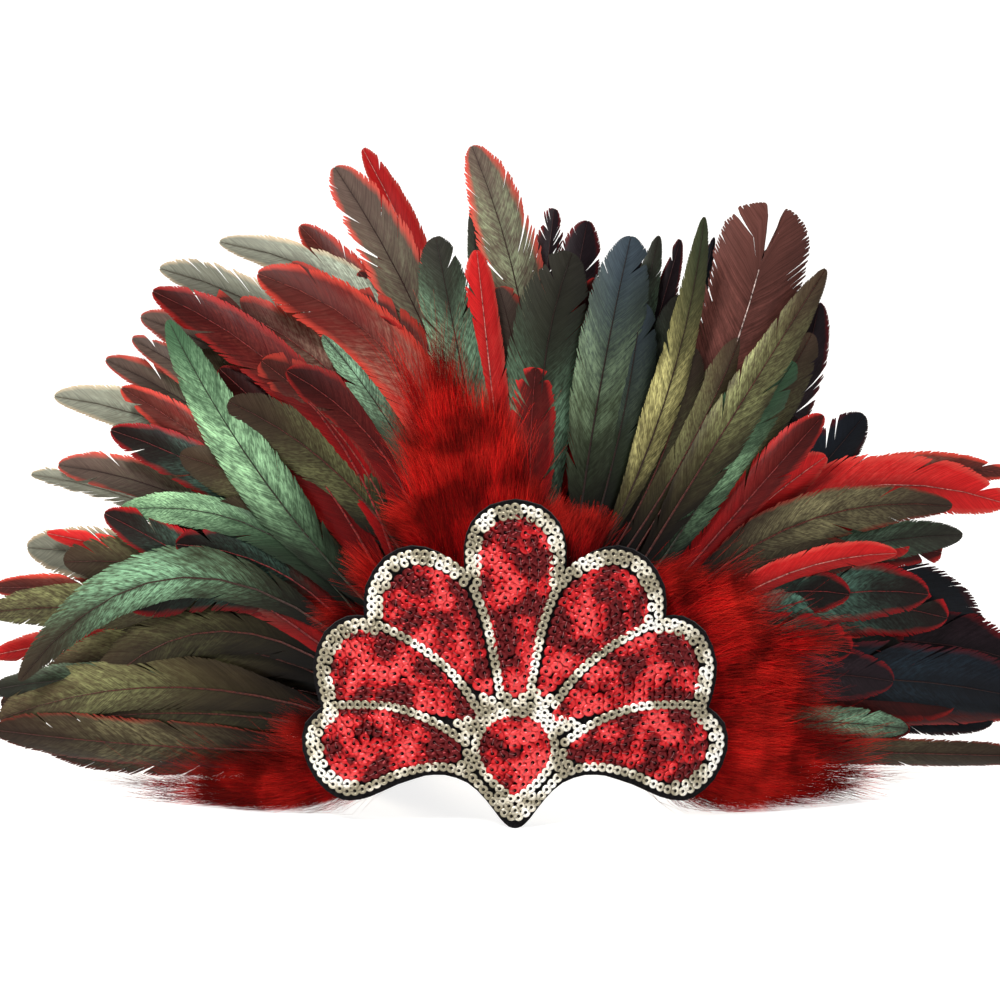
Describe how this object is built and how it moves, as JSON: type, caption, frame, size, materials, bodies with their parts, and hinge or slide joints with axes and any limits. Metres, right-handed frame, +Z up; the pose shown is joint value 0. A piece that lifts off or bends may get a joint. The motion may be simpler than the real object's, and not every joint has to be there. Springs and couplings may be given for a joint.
{
  "type": "carnival feather headdress",
  "caption": "Carnival headdress: a fan of dyed rooster feathers over a red and silver sequinned felt patch, on a head band.",
  "frame": {"origin": "under the middle of the whole piece, on the surface that it stands on", "axes": "+Z up, -Y towards the front of the patch, +X to the right as seen from the front"},
  "size_m": [0.4504, 0.2198, 0.2692],
  "materials": {
    "black_felt": "matt",
    "silver_sequins": "pearly gloss",
    "red_sequins": "metallic gloss",
    "red_down": "fluffy",
    "olive_feather": "iridescent",
    "bronze_feather": "satin",
    "mint_feather": "iridescent",
    "crimson_feather": "satin",
    "plum_feather": "iridescent"
  },
  "bodies": {
    "root": {"felt_backing": "black_felt", "head_band": "black_felt", "silver_sequin_trim": "silver_sequins", "red_sequins_centre": "red_sequins", "red_sequins_drop": "red_sequins", "red_sequins_left_1": "red_sequins", "red_sequins_left_2": "red_sequins", "red_sequins_left_3": "red_sequins", "red_sequins_right_1": "red_sequins", "red_sequins_right_2": "red_sequins", "red_sequins_right_3": "red_sequins", "down_left": "red_down", "down_top": "red_down", "down_right": "red_down", "front_feathers_upper_left": "mint_feather", "front_feathers_upper_right": "olive_feather", "front_feathers_left": "olive_feather", "front_feathers_top": "olive_feather", "front_feathers_right": "bronze_feather", "middle_feathers_upper_left": "crimson_feather", "middle_feathers_upper_right": "bronze_feather", "middle_feathers_left": "bronze_feather", "middle_feathers_top": "crimson_feather", "middle_feathers_right": "crimson_feather", "back_feathers_upper_left": "bronze_feather", "back_feathers_upper_right": "plum_feather", "back_feathers_left": "bronze_feather", "back_feathers_top": "plum_feather", "back_feathers_right": "plum_feather"}
  },
  "joints": []
}
